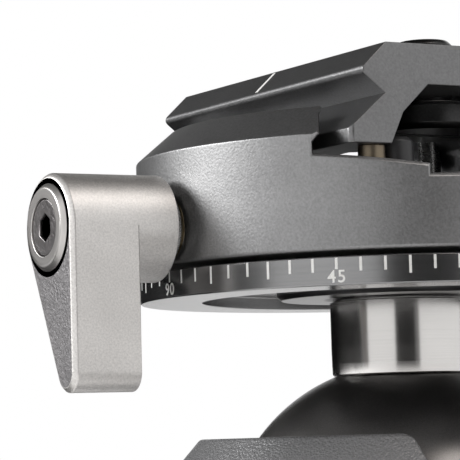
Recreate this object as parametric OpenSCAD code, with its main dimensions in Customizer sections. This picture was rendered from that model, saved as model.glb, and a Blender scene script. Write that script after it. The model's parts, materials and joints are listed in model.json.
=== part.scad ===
// Ball head with a panning plate clamp on top. Millimetres, +Z up.
// The origin is on the pan axis, in the plane of the bottom face.
// At rest the drop notch faces -Y and the clamp lever points to -X.

/* [Ball and neck] */
// Diameter of the ball
ball_d = 40; // [36:0.5:42]
// Height of the ball's centre above the bottom face
ball_z = 42; // [41:0.5:50]
// Diameter of the neck above the ball
neck_d = 15.1; // [12:0.1:16]
// From the ball's centre up to the top of the scale ring
pan_rise = 30.1; // [29:0.1:36]
// Gap between the ball and what it turns in
ball_gap = 0.3; // [0.2:0.05:0.5]

/* [Base disc] */
// Diameter of the base disc
base_d = 54; // [50:0.5:60]
// Thickness of the base disc's flange
base_t = 8; // [7:0.5:9]
// Bevel of the base disc's lower edge
base_bevel = 1; // [0.5:0.1:2]
// Diameter of the spindle that the housing turns on
spindle_d = 30; // [28:0.5:31]
// Height of that spindle above the flange
spindle_h = 5.5; // [5.5:0.5:7]
// Radius of the tripod thread's wall
thread_r = 3.97; // [3.9:0.01:4.5]
// Outer diameter of the threaded insert
insert_d = 13; // [11:0.5:15]
// Length of the threaded insert
insert_h = 9; // [8:0.5:10]
// Inner diameter of the rubber foot ring
foot_inner_d = 34; // [30:1:38]
// Width of the rubber foot ring
foot_w = 6; // [4:0.5:7]
// Thickness of the rubber foot ring
foot_t = 1.2; // [1:0.1:2]
// Thickness of the pan washer between disc and housing
washer_t = 0.4; // [0.3:0.05:0.6]
// Diameter of the ring that holds the housing down
retainer_d = 35; // [34:0.5:36]
// Thickness of that ring
retainer_t = 1.5; // [1.5:0.1:1.8]
// Diameter of the hole in that ring
retainer_hole_d = 10; // [8:0.5:14]
// Circle of the retaining ring's screws
retainer_pcd = 22; // [20:0.5:23]

/* [Housing] */
// Diameter of the housing
housing_d = 52; // [51:0.5:53.5]
// Bore that holds the cup, the seat ring and the floor
housing_bore = 44; // [43.6:0.1:45]
// Height of the rim above the ball's centre
rim_rise = 12.2; // [11:0.1:13]
// Outer diameter of the rim's flat top
rim_flat_d = 44.6; // [43:0.1:46]
// Diameter of the rim's opening
rim_bore = 39; // [37:0.1:40]
// Drop of the sloping shoulder outside the rim
shoulder_drop = 4.2; // [3:0.1:6]
// Thickness of the lip above the seat ring's shoulder
lip_t = 5.8; // [5:0.1:6.5]
// Width of the drop notch
notch_w = 22.4; // [17.5:0.1:24]
// Rounding of the notch's upper corners
notch_round = 0.8; // [0.3:0.1:2]
// Thickness of the floor ring round the spindle
floor_t = 4.8; // [4.5:0.1:5]
// Depth of the well in the floor, over the retaining ring
floor_well = 4; // [3.5:0.1:4.5]
// Thickness of the plate under the spring
spring_plate_t = 1.4; // [1:0.1:2]

/* [Cup and seat] */
// Height of the cup's underside above the spring plate
cup_lift = 1.3; // [1.2:0.1:1.6]
// Height of the cup's rim below the ball's centre
cup_rim_drop = 10; // [9:0.5:12]
// Hole in the middle of the cup
cup_hole_d = 16; // [12:0.5:18]
// Height of the seat ring's lower edge above the ball's centre
seat_start = 1.2; // [1:0.1:2]
// Height of the seat ring's upper edge above the ball's centre
seat_end = 9.8; // [8.5:0.1:10.5]
// Height of the disc spring under the cup
spring_t = 0.9; // [0.7:0.1:1]
// Dish of the disc spring
spring_dish = 0.3; // [0.1:0.05:0.4]
// Outer diameter of the disc spring
spring_outer_d = 28; // [26:0.5:34]
// Inner diameter of the disc spring
spring_inner_d = 18; // [16:0.5:20]

/* [Main lock] */
// Height of the main knob's axis below the ball's centre
main_drop = 16.5; // [16:0.5:17]
// Diameter of the main knob
main_knob_d = 26; // [22:0.5:28]
// Length of the main knob
main_knob_len = 13.5; // [11:0.5:16]
// Bevel of the main knob
knob_bevel = 1.2; // [0.5:0.1:2]
// Diameter of the boss on the housing
main_boss_d = 22; // [18:0.5:24]
// How far that boss stands out of the housing
main_boss_proud = 3.6; // [2:0.1:5]
// Diameter of the threaded bush
main_bush_d = 13; // [11:0.5:15]
// Diameter of the main shaft
main_shaft_d = 8; // [7:0.1:8]
// Depth of the groove that holds the rubber grip
grip_depth = 1.5; // [1:0.1:2]
// Length of the rubber grip
grip_len = 8; // [6:0.5:10]
// Number of scallops in the grip
grip_scallops = 20; // [12:1:28]
// Diameter of the friction dial
dial_d = 11.4; // [9:0.1:13]
// How far the friction dial stands out of the knob
dial_proud = 0.8; // [0.5:0.1:2]
// Depth of the dial's pocket
dial_depth = 3.6; // [2:0.1:4]

/* [Pan locks] */
// Diameter of both pan lock screws
pan_screw_d = 4; // [3.6:0.1:4]
// Diameter of the lower pan knob
base_knob_d = 13; // [11:0.5:14]
// Length of the lower pan knob
base_knob_len = 8.5; // [7:0.5:11]
// Diameter of the upper pan knob
top_knob_d = 10; // [8:0.5:11]
// Length of the upper pan knob
top_knob_len = 8; // [6:0.5:10]
// Length of each brake shoe
shoe_len = 2.2; // [1.8:0.1:2.4]
// Radius of the brake shoes
shoe_r = 1.95; // [1.8:0.05:1.95]
// Depth of the brake groove in spindle and hub
groove_depth = 0.9; // [0.6:0.1:1]
// How far the pad under the lower knob stands out of the housing
knob_pad_proud = 1.2; // [0.8:0.1:2]

/* [Scale ring and hub] */
// How far the scale ring stays inside the clamp's wall
ring_step = 0.1; // [0.05:0.05:0.5]
// Height of the scale ring
ring_h = 2.93; // [2.6:0.01:4]
// Width of the scale ring's flat underside
ring_rim_w = 6.8; // [5:0.1:8]
// Thickness of the scale ring's web
ring_web = 1.5; // [1.2:0.1:2]
// Diameter of the hub's boss under the web
boss_d = 26.8; // [25:0.1:30]
// Diameter of the hub that the clamp turns on
hub_d = 22; // [20:0.1:23]
// Height of the hub above the scale ring
hub_h = 5.75; // [5.6:0.05:6]
// Thickness of the bearing washer under the clamp
bearing_t = 0.56; // [0.4:0.01:0.8]
// Width of the bearing washer
bearing_w = 8; // [4:0.5:10]
// Diameter of the spigot that joins neck and hub
spigot_d = 10; // [8:0.5:11]

/* [Clamp body] */
// Height of the clamp's rim above the scale ring
clamp_h = 15.8; // [15.6:0.1:16.5]
// Height of the rim's chamfer
rim_chamfer_h = 3.3; // [2:0.1:4]
// Width of the rim's chamfer
rim_chamfer_w = 3.9; // [2:0.1:5]
// Height of the channel's middle floor above the scale ring
channel_z = 8.1; // [8:0.05:8.6]
// Width of the channel's middle floor
channel_floor_w = 24; // [22:0.5:25]
// Height of the step beside the middle floor
floor_step = 1; // [0.5:0.1:1.2]
// Slope of the side floors, in degrees
floor_slope = 9; // [6:0.5:12]
// Height of the undercut's foot above the scale ring, on the jaw's side
undercut_z = 11.6; // [11:0.1:12.2]
// How far the undercut wall laps over the plate's foot at the rim
undercut_lap = 0.25; // [0:0.05:1]
// How far the undercut reaches beyond the plate's foot
undercut_w = 2.45; // [2:0.05:3.5]
// Diameter of the disc that holds the clamp down
cover_d = 29; // [27:0.5:29.5]
// Thickness of that disc
cover_t = 1.6; // [1.4:0.1:1.9]
// Circle of the disc's screws
cover_pcd = 16; // [15:0.5:17]
// Gap between the plate's flanks and the jaws
flank_gap = 0.15; // [0.1:0.01:0.3]

/* [Plate] */
// Width of the plate's dovetail foot
foot_width = 37.8; // [37:0.1:39]
// Width at the plate's upper bevel
plate_wide = 35; // [34:0.1:36]
// Width of the plate's top face
plate_top_w = 28.7; // [26:0.1:31]
// Width in the plate's waist
plate_waist = 29.2; // [28:0.1:30]
// Length of the plate
plate_len = 43.2; // [38:0.1:60]
// Height of the plate's feet above the scale ring
plate_z = 11.4; // [11.3:0.05:12]
// Height of the plate
plate_h = 10.45; // [10:0.05:12]
// Width of each foot's flat underside
foot_flat = 5; // [4:0.1:6]
// From the foot's outside to the arch's knee
arch_knee_w = 6.5; // [5.5:0.1:8]
// Height of the arch's knee above the feet
arch_knee_h = 3.3; // [2.5:0.1:4]
// From the foot's outside to the arch's flat top
arch_top_w = 9.6; // [8:0.1:10.5]
// Corner cut at the feet's ends
lead_in = 0.4; // [0.3:0.1:3]
// Length of the slot for the camera screw
slot_len = 30; // [26:0.5:32]
// Thickness of the rubber pads
pad_t = 0.6; // [0.5:0.1:1]
// How far the pads stand proud of the plate
pad_proud = 0.25; // [0.1:0.05:0.5]
// Width of each pad
pad_w = 7.5; // [5:0.5:9]
// Length of each pad
pad_len = 36; // [30:0.5:37]

/* [Camera screw] */
// Diameter of the camera thread
camera_d = 6.35; // [6.3:0.01:6.4]
// How far the thread stands above the plate's top
camera_proud = 2.8; // [2.5:0.05:6]
// Offset of the screw from the plate's middle, towards -Y
camera_offset = 6.8; // [0:0.1:9]
// Diameter of the screw's head
camera_head_d = 14.8; // [12:0.1:16]
// Thickness of the screw's head
camera_head_t = 2.6; // [2:0.1:2.8]
// Thickness of the washer under the plate
camera_washer_t = 0.6; // [0.4:0.1:0.8]

/* [Jaw and lever] */
// Length of the moving jaw
jaw_len = 20; // [18:0.5:20]
// Thickness of the moving jaw; the clamp body is as wide as the plate, the jaw and its room need
jaw_t = 4.25; // [4:0.05:6]
// Thickness of the clamp's wall outside the moving jaw
jaw_wall = 3; // [2.8:0.05:3.4]
// Travel of the moving jaw
jaw_travel = 2; // [1.5:0.1:2]
// Height of the lever's axis above the scale ring
lever_rise = 4.3; // [4.2:0.1:4.6]
// Diameter of the lever's shaft
lever_shaft_d = 5; // [4:0.1:5.2]
// Diameter of the threaded bush in the clamp's wall
lever_nut_d = 6.7; // [6:0.1:6.8]
// Diameter of the washer between clamp and lever
lever_washer_d = 7.8; // [7:0.1:9]
// Diameter of the lever's hub
lever_hub_d = 11.3; // [10:0.1:13]
// Gap between the clamp's wall and the lever
lever_gap = 1.5; // [1:0.1:3]
// Length of the lever's round boss
lever_boss_len = 4.7; // [3:0.1:8]
// Thickness of the lever's paddle
paddle_t = 7.7; // [5:0.1:9]
// Drop of the paddle's tip centre below the axis
tip_drop = 15; // [12:0.1:20]
// Offset of the tip centre towards -Y
tip_side = 3.4; // [0:0.1:5]
// Radius of the paddle's tip
tip_r = 2.15; // [1.5:0.05:4]
// Diameter of the counterbore in the paddle
counterbore_d = 10; // [8:0.1:10.4]
// Depth of the counterbore
counterbore_h = 2.2; // [1.5:0.1:3]
// Diameter of the bush's flange
bush_d = 9; // [8:0.1:9.4]
// Diameter of the bush's front edge
bush_front_d = 7.6; // [7:0.1:8]
// How far the bush stands out of the paddle
bush_proud = 0.5; // [0.2:0.1:1]
// Diameter of the lever screw's head
lever_screw_d = 5.9; // [5:0.1:6]
// Width across flats of its hexagon socket
hex_af = 2.5; // [2:0.5:3]

/* [Small parts] */
// Side place of the safety pins
pin_x = 11.5; // [11.3:0.05:11.5]
// Place of the safety pins along the channel
pin_y = 18.5; // [18:0.1:19.5]
// Diameter of the safety pins
pin_d = 3.6; // [3:0.1:3.6]
// Diameter of their springs
pin_spring_d = 2.8; // [2.4:0.1:3]
// Height of the safety pins above the scale ring
pin_top = 12.5; // [12.4:0.05:12.8]
// Travel of the safety pins
pin_travel = 2; // [1.5:0.1:2]
// Side place of the brass rest buttons
button_x = 15.2; // [15.1:0.1:16]
// Place of the rest buttons along the channel
button_y = 19.6; // [19:0.1:20]
// Diameter of the rest buttons
button_d = 2.8; // [2:0.1:3]
// Length of the rest buttons
button_len = 3; // [2:0.5:4]
// Diameter of the level's vial
vial_d = 3; // [2.6:0.1:3.2]
// Length of the level's vial
vial_len = 11; // [8:0.5:13]
// From the rim's chamfer to the vial's middle
vial_inset = 3; // [2.8:0.1:3.2]
// Diameter of the stop screws under the plate
stop_d = 2.6; // [2:0.1:3]
// Place of the stop screws from the plate's middle
stop_y = 10; // [9:0.5:10]

/* [Hidden] */
$fn = 96;
// Facets of the ball and of the neck's seat on it
ball_fn = 180;
eps = 0.01;
// How far a cut runs past the face that it opens
over = 1;
// Running clearance of a shaft in its bore, on the radius
run = 0.08;
// Clearance between pieces of one body, on the radius
seat = 0.05;
// Clearance between pieces that only pass each other
pass = 0.3;
// Bevels on small edges
edge = 0.6;
fine = 0.3;

pan_z = ball_z + pan_rise;
ball_r = ball_d / 2;
neck_r = neck_d / 2;
rim_z = ball_z + rim_rise;
housing_r = housing_d / 2;
bore_r = housing_bore / 2;
housing_z = base_t + washer_t;
spindle_top = base_t + spindle_h;
washer_inset = 1;
floor_top = housing_z + floor_t + floor_well;
well_gap = 0.8;
spring_plate_top = floor_top + spring_plate_t;

main_z = ball_z - main_drop;
main_boss_end = housing_r + main_boss_proud;
main_knob_start = main_boss_end + 1;
main_knob_end = main_knob_start + main_knob_len;
bush_flange_t = 0.5;
bush_flange_w = 1.5;
bush_sink = 0.2;
shaft_end = main_knob_end - dial_depth - 1.4;
collar_gap = 0.1;
dial_lift = 0.2;
dial_slot_w = 1.4;
dial_slot_h = 1;
grip_proud = 0.3;
scallop_r = 1.1;

// The cone on the wedge plunger and its pocket in the cup
cone_start = 18;
cone_len = 3.6;
cone_tip_r = 1.5;
cone_base_r = 3.7;
cone_gap = 0.35;
wedge_end = bore_r + 1.6;

brake_z = housing_z + 2.5;
hub_brake_z = pan_z + 3.1;
knob_gap = 0.8;
base_knob_start = housing_r + knob_pad_proud + knob_gap;
foot_half = foot_width / 2;
jaw_face = foot_half + flank_gap;
clamp_r = jaw_face + jaw_t + jaw_travel + pass + jaw_wall;
top_knob_start = clamp_r + knob_gap + seat;
// Knurls and inner collar of the small knobs, and the wall at the screw's end
knurls = 18;
knurl_r = 0.6;
knurl_out = 0.25;
collar_step = 1.6;
collar_len = 1;
knob_cap = 3;

cover_gap = 0.15;
spigot_cap = 2;
boss_bevel = 0.5;
neck_groove = 0.75;
ring_edge = 0.1;
bearing_inset = 1;

clamp_top = pan_z + clamp_h;
clamp_shoulder = clamp_top - rim_chamfer_h;
channel_floor = pan_z + channel_z;
channel_half = channel_floor_w / 2;
lever_z = pan_z + lever_rise;
lever_start = clamp_r + lever_gap;
paddle_start = lever_start + lever_boss_len;
lever_end = paddle_start + paddle_t;

plate_bottom = pan_z + plate_z;
plate_top = plate_bottom + plate_h;
// Heights in the plate's outline above its feet: foot's side, waist, upper bevel, arch
foot_side_h = 1.5;
waist_z = 5.2;
wide_z = 7.5;
arch_z = 6.2;
web_z = plate_bottom + arch_z;
flank_tan = (foot_half - plate_waist / 2) / (waist_z - foot_side_h);
slot_gap = 0.35;
pad_inset = 1.5;

pocket_end = clamp_r - jaw_wall;
jaw_back = pocket_end - jaw_travel - pass;
jaw_bottom = pan_z + 1.6;
jaw_top = clamp_top - fine;
guide_pin_r = 1.25;
guide_pin_z = pan_z + 7;
guide_pin_y = 6.5;
guide_reach = 3.4;
guide_bed = 0.7;

// The lever's shaft reaches this far into the paddle and the jaw
shaft_stub = 3;
shaft_bed = 1.2;
nut_inset = 0.2;
bush_sleeve_r = 3.1;
bush_bore_r = 1.6;
bush_bevel = 0.75;
lever_screw_r = 1.45;
lever_screw_head_t = 1.8;
lever_screw_sink = 0.15;
socket_depth = 1.6;

spring_well = pan_z + 1.3;
pin_spring_solid = 1.1;
pin_spring_len = pin_travel + pin_spring_solid;
pin_spring_w = 0.5;
pin_bottom = spring_well + pin_spring_len + collar_gap;

// Countersunk screws
screws = 3;
screw_r = 1.5;
screw_head_r = 2.9;
screw_head_h = 1.4;
screw_socket_r = 1.1;
screw_socket_h = 0.9;
retainer_screw_len = 5;
cover_screw_len = 4.5;

stop_sink = 0.6;
stop_socket_r = 0.8;
stop_socket_h = 0.8;

camera_r = camera_d / 2;
camera_y = -camera_offset;
camera_washer_w = 2.2;
coin_slot_w = 1.6;
coin_slot_h = 1.2;
// Depth of the relief under the camera thread
relief = 0.25;
thread_bevel = 0.5;

vial_x = clamp_r - rim_chamfer_w - vial_inset;
vial_z = clamp_top - 1.2;
vial_window = 2;

// A round solid from its half outline, given as [radius, height] points
module turned(points) {
    rotate_extrude() polygon(points);
}

// A plain ring between two radii and two heights
module band(r0, r1, z0, z1) {
    turned([[r0, z0], [r1, z0], [r1, z1], [r0, z1]]);
}

// A cylinder along +X from x0 to x1 at height z
module rod_x(x0, x1, r, z) {
    translate([x0, 0, z]) rotate([0, 90, 0]) cylinder(h = x1 - x0, r = r);
}

// A round solid about +X at height z, from [radius, distance] points
module turned_x(points, z) {
    translate([0, 0, z]) rotate([0, 90, 0]) rotate_extrude() polygon(points);
}

// A bar along Y with a given [x, z] outline
module bar_y(points, len) {
    translate([0, len / 2, 0]) rotate([90, 0, 0]) linear_extrude(len) polygon(points);
}

// Copies at equal angles on a circle
module ring_of(count, radius) {
    for (i = [0 : count - 1]) rotate(i * 360 / count) translate([radius, 0, 0]) children();
}

// A countersunk screw, head up, with its head's face at the origin
module flat_screw(len) {
    difference() {
        union() {
            translate([0, 0, -len]) cylinder(h = len, r = screw_r);
            translate([0, 0, -screw_head_h]) cylinder(h = screw_head_h, r1 = screw_r, r2 = screw_head_r);
        }
        translate([0, 0, -screw_socket_h]) rotate(30)
            cylinder(h = screw_socket_h + eps, r = screw_socket_r, $fn = 6);
    }
}

// The hole that such a screw fills
module flat_screw_hole(len) {
    translate([0, 0, -len - seat]) cylinder(h = len + seat + eps, r = screw_r + seat);
    translate([0, 0, -screw_head_h])
        cylinder(h = screw_head_h + eps, r1 = screw_r + seat, r2 = screw_head_r + seat);
}

module retainer_screw_holes() translate([0, 0, spindle_top + retainer_t]) {
    ring_of(screws, retainer_pcd / 2) flat_screw_hole(retainer_screw_len);
}

module cover_screw_holes() translate([0, 0, pan_z + hub_h + cover_t]) {
    ring_of(screws, cover_pcd / 2) flat_screw_hole(cover_screw_len);
}

// The V groove that a brake shoe presses in
module brake_groove(r, z) {
    translate([0, 0, z])
        turned([[r - groove_depth, 0], [r + over, -over - groove_depth], [r + over, over + groove_depth]]);
}

module base_disc() color("dimgray") difference() {
    r = base_d / 2;
    foot_r = foot_inner_d / 2;
    turned([[0, 0], [r - base_bevel, 0], [r, base_bevel], [r, base_t - edge], [r - edge, base_t],
        [spindle_d / 2, base_t], [spindle_d / 2, spindle_top], [0, spindle_top]]);
    translate([0, 0, -eps]) cylinder(h = insert_h + eps, r = insert_d / 2 + seat);
    band(foot_r - seat, foot_r + foot_w + seat, -eps, foot_t + seat);
    brake_groove(spindle_d / 2, brake_z);
    retainer_screw_holes();
}

module thread_insert() color("silver") band(thread_r, insert_d / 2, 0, insert_h);

module foot_ring() color("black") band(foot_inner_d / 2, foot_inner_d / 2 + foot_w, 0, foot_t);

module pan_washer() color("white") {
    band(spindle_d / 2 + washer_inset, housing_r - washer_inset, base_t, housing_z);
}

module pan_retainer() color("silver") difference() {
    band(retainer_hole_d / 2, retainer_d / 2, spindle_top, spindle_top + retainer_t);
    retainer_screw_holes();
}

module retainer_screws() color("dimgray") translate([0, 0, spindle_top + retainer_t]) {
    ring_of(screws, retainer_pcd / 2) flat_screw(retainer_screw_len);
}

// The drop notch: a slot with a round bottom where the neck comes to rest
module notch() {
    notch_z = ball_z - neck_r - ball_gap + notch_w / 2;
    translate([0, -housing_d, notch_z]) rotate([-90, 0, 0]) cylinder(h = housing_d, r = notch_w / 2);
    translate([-notch_w / 2, -housing_d, notch_z]) cube([notch_w, housing_d, rim_rise + notch_w]);
    for (side = [-1, 1])
        translate([side * notch_w / 2, 0, rim_z]) rotate([90, 0, 0])
            linear_extrude(housing_d) difference() {
                translate([-notch_round, -notch_round]) square([2 * notch_round, notch_round + over]);
                translate([side * notch_round, -notch_round]) circle(notch_round);
            }
}

// The flat pad on the housing that the lower pan knob faces
module knob_pad() {
    intersection() {
        rod_x(-housing_r - knob_pad_proud, -bore_r - over, base_knob_d / 2 - edge, brake_z);
        translate([-housing_d, -housing_r, housing_z]) cube(housing_d);
    }
}

module housing() color("#222222") difference() {
    union() {
        turned([[0, housing_z], [housing_r - edge, housing_z], [housing_r, housing_z + edge],
            [housing_r, rim_z - shoulder_drop], [rim_flat_d / 2 + fine, rim_z - fine],
            [rim_flat_d / 2, rim_z], [0, rim_z]]);
        rod_x(bore_r + over, main_boss_end, main_boss_d / 2, main_z);
        knob_pad();
    }
    translate([0, 0, housing_z - eps]) cylinder(h = rim_z - lip_t - housing_z + eps, r = bore_r);
    translate([0, 0, housing_z]) cylinder(h = rim_z, r = rim_bore / 2);
    rod_x(0, main_boss_end + eps, main_bush_d / 2 + seat, main_z);
    rod_x(-housing_d, 0, pan_screw_d / 2 + run, brake_z);
    notch();
}

module housing_floor() color("gray") difference() {
    translate([0, 0, housing_z]) cylinder(h = floor_t + floor_well, r = bore_r - seat);
    translate([0, 0, housing_z - eps]) cylinder(h = floor_t + 2 * eps, r = spindle_d / 2 + pass);
    translate([0, 0, housing_z + floor_t]) cylinder(h = floor_well + eps, r = retainer_d / 2 + well_gap);
    rod_x(-housing_d, 0, pan_screw_d / 2 + run, brake_z);
}

module spring_plate() color("silver") translate([0, 0, floor_top]) {
    cylinder(h = spring_plate_t, r = bore_r - seat);
}

module disc_spring() color("silver") translate([0, 0, spring_plate_top]) {
    turned([[spring_inner_d / 2, spring_dish], [spring_outer_d / 2, 0],
        [spring_outer_d / 2, spring_t - spring_dish], [spring_inner_d / 2, spring_t]]);
}

module seat_ring() color("#333333") {
    step_z = rim_z - lip_t - seat;
    low = ball_z + seat_start;
    high = ball_z + seat_end;
    difference() {
        turned([[0, low], [bore_r - seat, low], [bore_r - seat, step_z], [rim_bore / 2 - seat, step_z],
            [rim_bore / 2 - seat, high], [0, high]]);
        translate([0, 0, ball_z]) sphere(r = ball_r + ball_gap);
        notch();
    }
}

module main_bush() color("goldenrod") difference() {
    r = main_bush_d / 2;
    union() {
        rod_x(bore_r + bush_sink, main_boss_end, r, main_z);
        rod_x(main_boss_end, main_boss_end + bush_flange_t, r + bush_flange_w, main_z);
    }
    rod_x(bore_r, main_boss_end + over, main_shaft_d / 2 + run, main_z);
}

module thrust_cup() color("wheat") difference() {
    z0 = spring_plate_top + cup_lift;
    z1 = ball_z - cup_rim_drop;
    translate([0, 0, z0]) cylinder(h = z1 - z0, r = bore_r - pass);
    translate([0, 0, z0 - eps]) cylinder(h = z1 - z0, r = cup_hole_d / 2);
    translate([0, 0, ball_z]) sphere(r = ball_r + ball_gap);
    turned_x([[0, cone_start - cone_gap], [cone_tip_r + cone_gap, cone_start - cone_gap],
        [cone_base_r + cone_gap, cone_start + cone_len], [cone_base_r + cone_gap, bore_r + over],
        [0, bore_r + over]], main_z);
}

module wedge_plunger() color("silver") turned_x([[0, cone_start], [cone_tip_r, cone_start],
    [cone_base_r, cone_start + cone_len], [cone_base_r, wedge_end], [0, wedge_end]], main_z);

module main_shaft() color("silver") {
    rod_x(wedge_end, shaft_end, main_shaft_d / 2, main_z);
    rod_x(main_boss_end + bush_flange_t + collar_gap, main_knob_start, main_shaft_d / 2 + over, main_z);
}

// Where the rubber grip starts along the main knob
function grip_start() = main_knob_start + (main_knob_len - grip_len) / 2;

module main_knob() color("#1c1c1c") difference() {
    r = main_knob_d / 2;
    x0 = main_knob_start;
    x1 = main_knob_end;
    g0 = grip_start();
    turned_x([[0, x0], [r - knob_bevel, x0], [r, x0 + knob_bevel], [r, g0], [r - grip_depth, g0],
        [r - grip_depth, g0 + grip_len], [r, g0 + grip_len], [r, x1 - knob_bevel],
        [r - knob_bevel, x1], [0, x1]], main_z);
    rod_x(x0 - over, shaft_end + seat, main_shaft_d / 2 + seat, main_z);
    rod_x(x1 - dial_depth, x1 + over, dial_d / 2 + run, main_z);
}

module main_knob_grip() color("black") difference() {
    r = main_knob_d / 2;
    g0 = grip_start();
    turned_x([[r - grip_depth, g0], [r + grip_proud, g0], [r + grip_proud, g0 + grip_len],
        [r - grip_depth, g0 + grip_len]], main_z);
    translate([g0 - over, 0, main_z]) rotate([0, 90, 0])
        ring_of(grip_scallops, r + edge) cylinder(h = grip_len + 2 * over, r = scallop_r);
}

module friction_dial() color("silver") difference() {
    r = dial_d / 2;
    x0 = main_knob_end - dial_depth + dial_lift;
    x1 = main_knob_end + dial_proud;
    turned_x([[0, x0], [r, x0], [r, x1 - fine], [r - fine, x1], [0, x1]], main_z);
    translate([x1 - dial_slot_h, -r - over, main_z - dial_slot_w / 2])
        cube([dial_slot_h + over, dial_d + 2 * over, dial_slot_w]);
}

// A brake shoe along X with its pointed nose at x0, towards the axis
module shoe(x0, z) {
    turned_x([[0, x0], [shoe_r - groove_depth, x0], [shoe_r, x0 + groove_depth], [shoe_r, x0 + shoe_len],
        [0, x0 + shoe_len]], z);
}

// A knurled knob on +X from x0, bored for its screw
module small_knob(x0, len, d, z) difference() {
    r = d / 2;
    turned_x([[0, x0], [r - collar_step, x0], [r - collar_step, x0 + collar_len],
        [r - edge, x0 + collar_len], [r, x0 + collar_len + edge], [r, x0 + len - edge],
        [r - edge, x0 + len], [0, x0 + len]], z);
    translate([x0 + collar_len + edge, 0, z]) rotate([0, 90, 0])
        ring_of(knurls, r + knurl_out) cylinder(h = len, r = knurl_r);
    rod_x(x0 - over, x0 + len - knob_cap + seat, pan_screw_d / 2 + seat, z);
}

module base_brake_shoe() color("goldenrod") mirror([1, 0, 0]) shoe(spindle_d / 2 + pass, brake_z);

module base_pan_screw() color("silver") mirror([1, 0, 0]) {
    rod_x(spindle_d / 2 + pass + shoe_len, base_knob_start + base_knob_len - knob_cap, pan_screw_d / 2,
        brake_z);
}

module base_pan_knob() color("#1c1c1c") mirror([1, 0, 0]) {
    small_knob(base_knob_start, base_knob_len, base_knob_d, brake_z);
}

module top_brake_shoe() color("goldenrod") shoe(hub_d / 2 + pass, hub_brake_z);

module top_pan_screw() color("silver") {
    rod_x(hub_d / 2 + pass + shoe_len, top_knob_start + top_knob_len - knob_cap, pan_screw_d / 2,
        hub_brake_z);
}

module top_pan_knob() color("#1c1c1c") small_knob(top_knob_start, top_knob_len, top_knob_d, hub_brake_z);

module ball() color("#4a4a4a") translate([0, 0, ball_z]) sphere(r = ball_r, $fn = ball_fn);

module neck() color("#5a5a5a") difference() {
    union() {
        translate([0, 0, ball_z]) cylinder(h = pan_rise - ring_h, r = neck_r);
        translate([0, 0, pan_z - ring_h - eps])
            cylinder(h = ring_h + hub_h - spigot_cap + eps, r = spigot_d / 2);
    }
    translate([0, 0, ball_z]) sphere(r = ball_r + run, $fn = ball_fn);
}

module pan_hub() color("#2a2a2a") difference() {
    low = pan_z - ring_h;
    web = pan_z - ring_web;
    top = pan_z + hub_h;
    turned([[0, low], [boss_d / 2 - boss_bevel, low], [boss_d / 2, low + boss_bevel], [boss_d / 2, web],
        [hub_d / 2, web], [hub_d / 2, top], [0, top]]);
    translate([0, 0, low - over])
        cylinder(h = top - spigot_cap + seat - low + over, r = spigot_d / 2 + seat);
    translate([0, 0, low - eps]) cylinder(h = neck_groove, r1 = neck_r + neck_groove, r2 = neck_r);
    brake_groove(hub_d / 2, hub_brake_z);
    cover_screw_holes();
}

module scale_ring() color("#1e1e1e") {
    r = clamp_r - ring_step;
    low = pan_z - ring_h;
    web = pan_z - ring_web;
    turned([[hub_d / 2 + seat, web], [r - ring_rim_w, web], [r - ring_rim_w, low], [r - fine, low],
        [r, low + fine], [r, pan_z - ring_edge], [r - ring_edge, pan_z], [hub_d / 2 + seat, pan_z]]);
}

module bearing_washer() color("white") {
    band(hub_d / 2 + bearing_inset, hub_d / 2 + bearing_inset + bearing_w, pan_z, pan_z + bearing_t);
}

// Height of the sloping side floors of the channel at distance x from the middle
function side_floor(x) = channel_floor + floor_step + (x - channel_half) * tan(floor_slope);

// Distance from the middle of a flank that starts at x0 and leans in above the plate's feet
function flank(x0, z) = x0 - (z - plate_bottom - foot_side_h) * flank_tan;

// Outline of the channel; the lever's side is wider, to house the jaw
function channel_outline() = let (
    top = clamp_top + over,
    wall = jaw_face - undercut_lap,
    foot = jaw_face + undercut_w,
    lean = (foot - wall) / (clamp_h - undercut_z))
    [[-(wall - over * lean), top], [-foot, pan_z + undercut_z], [-foot, side_floor(foot)],
    [-channel_half, side_floor(channel_half)], [-channel_half, channel_floor],
    [channel_half, channel_floor], [channel_half, side_floor(channel_half)],
    [jaw_face, side_floor(jaw_face)], [jaw_face, plate_bottom + foot_side_h],
    [flank(jaw_face, top), top]];

// Outline of the pocket that the moving jaw backs into; its outside follows the rim's chamfer
function pocket_outline() = let (
    top = clamp_top + over,
    inner = jaw_face - undercut_lap - over,
    floor_z = jaw_bottom - pass)
    [[-pocket_end, floor_z], [-pocket_end, clamp_shoulder], [-(pocket_end - rim_chamfer_w), clamp_top],
    [-(pocket_end - rim_chamfer_w), top], [-inner, top], [-inner, plate_bottom],
    [-(jaw_face - flank_gap), plate_bottom], [-(jaw_face - flank_gap), floor_z]];

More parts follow.
